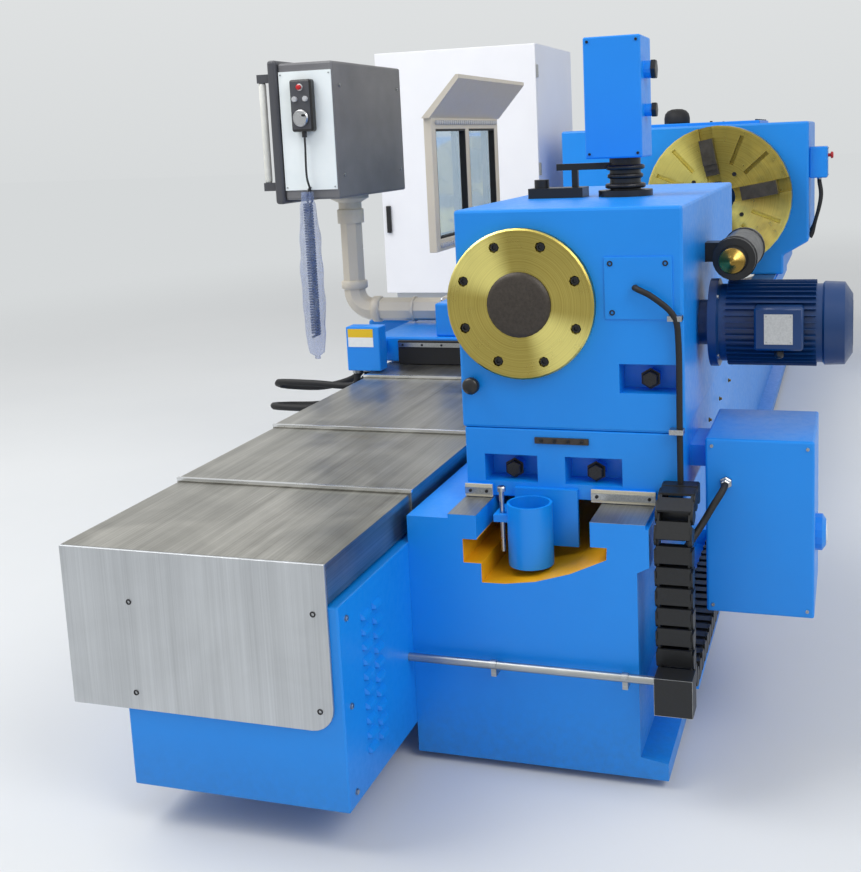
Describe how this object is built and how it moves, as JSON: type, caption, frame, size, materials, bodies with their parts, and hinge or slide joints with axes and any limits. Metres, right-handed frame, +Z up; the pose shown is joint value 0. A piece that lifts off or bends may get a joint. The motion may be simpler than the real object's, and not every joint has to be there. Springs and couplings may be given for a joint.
{
  "type": "cnc turning lathe",
  "caption": "CNC turning lathe with separate workpiece and tool beds, steel way covers, tailstock, chuck, splash guard, swivelling control pendant and cabinet.",
  "frame": {"origin": "on the floor below the spindle axis, level with the foot pad in the middle of the workpiece bed", "axes": "+X along the spindle axis from the headstock to the tailstock, +Y away from the operator's side, +Z up; the spindle axis is at Y 0, Z 1.07"},
  "size_m": [6.15, 2.843, 2],
  "materials": {
    "machine_blue": "semi-gloss enamel",
    "stainless_sheet": "brushed",
    "ground_steel": "ground",
    "brass_coloured_steel": "turned",
    "dark_steel": "blackened",
    "cream_paint": "semi-gloss enamel",
    "guard_pane": "clear",
    "pendant_grey": "fine texture",
    "white_plate": "gloss",
    "bezel_plastic": "matte",
    "black_plastic": "matte",
    "black_rubber": "matte",
    "chain_plastic": "matte",
    "clear_bag": "translucent film",
    "red_plastic": "gloss",
    "dial_silver": "satin",
    "cabinet_white": "fine texture",
    "navy_paint": "semi-gloss enamel",
    "black_paint": "semi-gloss enamel"
  },
  "bodies": {
    "base": {"workpiece_bed": "machine_blue", "tool_bed": "machine_blue", "tool_bed_end_casing": "machine_blue", "cover_end_plate": "stainless_sheet", "tail_cover_fixed": "stainless_sheet", "head_cover_fixed": "stainless_sheet", "headstock_pedestal": "machine_blue", "headstock_body": "machine_blue", "junction_box": "machine_blue", "cabinet_body": "cabinet_white", "conduit_pipe": "stainless_sheet"},
    "z_screw": {"z_ball_screw": "ground_steel"},
    "tail_cover_a": {"tail_cover_1": "stainless_sheet"},
    "tail_cover_b": {"tail_cover_2": "stainless_sheet"},
    "head_cover_a": {"head_cover_1": "stainless_sheet"},
    "carriage": {"carriage_saddle": "machine_blue", "saddle_skirt_tail": "black_rubber", "tail_cover_3": "stainless_sheet", "head_cover_2": "stainless_sheet", "apron_box": "machine_blue", "conduit_loop_upper": "black_rubber", "conduit_loop_lower": "black_rubber"},
    "x_screw": {"x_ball_screw": "ground_steel"},
    "cross": {"cross_slide": "machine_blue", "guard_frame": "cream_paint", "guard_glass": "guard_pane", "pendant_arm": "cream_paint"},
    "turret": {"tool_turret": "ground_steel"},
    "pendant": {"pendant_body": "pendant_grey", "pendant_bezel": "bezel_plastic", "pendant_side_plate": "white_plate", "handwheel_unit": "black_plastic", "handwheel_cable": "black_rubber", "handwheel_curly_cord": "black_rubber", "cord_bag": "clear_bag"},
    "stop_button": {"emergency_button": "red_plastic"},
    "dial": {"handwheel_dial": "dial_silver"},
    "chuck": {"chuck_body": "brass_coloured_steel"},
    "jaw_1": {"chuck_jaw_1": "ground_steel"},
    "jaw_2": {"chuck_jaw_2": "ground_steel"},
    "jaw_3": {"chuck_jaw_3": "ground_steel"},
    "jaw_4": {"chuck_jaw_4": "ground_steel"},
    "junction_stop": {"junction_button": "red_plastic"},
    "door": {"cabinet_door": "cabinet_white"},
    "latch": {"cabinet_door_handle": "black_plastic"},
    "tailstock": {"tailstock_base": "machine_blue", "tailstock_body": "machine_blue", "tailstock_flange": "brass_coloured_steel", "tailstock_disc": "dark_steel", "pawl_bracket": "machine_blue", "tail_post": "black_paint", "tail_top_box": "machine_blue", "tail_motor": "navy_paint", "tail_cylinder": "black_paint", "hydraulic_box": "machine_blue", "tail_hose": "black_rubber", "drag_chain": "chain_plastic"},
    "quill_body": {"quill": "ground_steel"},
    "centre": {"live_centre": "ground_steel"},
    "pawl": {"pawl_rod": "ground_steel"}
  },
  "joints": [
    {"name": "spindle_spin", "type": "hinge", "parent": "base", "child": "chuck", "pos_m": [-1.8, 0, 1.07], "axis": [1, 0, 0], "continuous": true},
    {"name": "jaw_1_slide", "type": "slide", "parent": "chuck", "child": "jaw_1", "axis": [0, -0.1736, 0.9848], "range_m": [-0.05, 0.06]},
    {"name": "jaw_2_slide", "type": "slide", "parent": "chuck", "child": "jaw_2", "axis": [0, -0.9848, -0.1736], "range_m": [-0.05, 0.06]},
    {"name": "jaw_3_slide", "type": "slide", "parent": "chuck", "child": "jaw_3", "axis": [0, 0.1736, -0.9848], "range_m": [-0.05, 0.06]},
    {"name": "jaw_4_slide", "type": "slide", "parent": "chuck", "child": "jaw_4", "axis": [0, 0.9848, 0.1736], "range_m": [-0.05, 0.06]},
    {"name": "carriage_slide", "type": "slide", "parent": "base", "child": "carriage", "axis": [1, 0, 0], "range_m": [-0.7, 0.9]},
    {"name": "tail_cover_1_slide", "type": "slide", "parent": "base", "child": "tail_cover_a", "axis": [1, 0, 0], "range_m": [-0.326, 0.419]},
    {"name": "tail_cover_2_slide", "type": "slide", "parent": "base", "child": "tail_cover_b", "axis": [1, 0, 0], "range_m": [-0.601, 0.773]},
    {"name": "head_cover_1_slide", "type": "slide", "parent": "base", "child": "head_cover_a", "axis": [1, 0, 0], "range_m": [-0.33, 0.424]},
    {"name": "z_screw_turn", "type": "hinge", "parent": "base", "child": "z_screw", "pos_m": [0, -0.58, 0.565], "axis": [1, 0, 0], "range_deg": [-21010, 27010]},
    {"name": "cross_slide_travel", "type": "slide", "parent": "carriage", "child": "cross", "axis": [0, -1, 0], "range_m": [-0.15, 0.26]},
    {"name": "x_screw_turn", "type": "hinge", "parent": "carriage", "child": "x_screw", "pos_m": [0.5, -0.5, 0.7], "axis": [0, 1, 0], "range_deg": [-11710, 6760]},
    {"name": "turret_index", "type": "hinge", "parent": "cross", "child": "turret", "pos_m": [0.5, -0.42, 0.985], "axis": [0, 0, 1], "continuous": true},
    {"name": "pendant_swivel", "type": "hinge", "parent": "cross", "child": "pendant", "pos_m": [0.62, -1.157, 1.17], "axis": [0, 0, 1], "range_deg": [-90, 20]},
    {"name": "stop_press", "type": "slide", "parent": "pendant", "child": "stop_button", "axis": [0, 1, 0], "range_m": [0, 0.0045], "stiffness_N_per_m": 400, "springref_m": -0.002},
    {"name": "dial_turn", "type": "hinge", "parent": "pendant", "child": "dial", "pos_m": [0.992, -1.16, 1.547], "axis": [1, 0, 0], "continuous": true},
    {"name": "junction_press", "type": "slide", "parent": "base", "child": "junction_stop", "axis": [0, -1, 0], "range_m": [0, 0.005], "stiffness_N_per_m": 400, "springref_m": -0.002},
    {"name": "door_hinge", "type": "hinge", "parent": "base", "child": "door", "pos_m": [-2.05, -1.09, 1.25], "axis": [0, 0, 1], "range_deg": [0, 95]},
    {"name": "latch_turn", "type": "hinge", "parent": "door", "child": "latch", "pos_m": [-2.05, -2.075, 1.035], "axis": [1, 0, 0], "range_deg": [0, 90]},
    {"name": "tailstock_slide", "type": "slide", "parent": "base", "child": "tailstock", "axis": [-1, 0, 0], "range_m": [0, 1], "deforming": ["drag_chain"]},
    {"name": "quill_slide", "type": "slide", "parent": "tailstock", "child": "quill_body", "axis": [-1, 0, 0], "range_m": [0, 0.25]},
    {"name": "live_centre_spin", "type": "hinge", "parent": "quill_body", "child": "centre", "pos_m": [1.11, 0, 1.07], "axis": [1, 0, 0], "continuous": true},
    {"name": "pawl_lift", "type": "slide", "parent": "tailstock", "child": "pawl", "axis": [0, 0, 1], "range_m": [0, 0.03]}
  ],
  "couplings": [
    {"joint": "tail_cover_1_slide", "follows": "carriage_slide", "ratio": 0.464},
    {"joint": "tail_cover_2_slide", "follows": "carriage_slide", "ratio": 0.857},
    {"joint": "head_cover_1_slide", "follows": "carriage_slide", "ratio": 0.47},
    {"joint": "z_screw_turn", "follows": "carriage_slide", "rad_per_m": 523.6},
    {"joint": "x_screw_turn", "follows": "cross_slide_travel", "rad_per_m": -785.4}
  ]
}
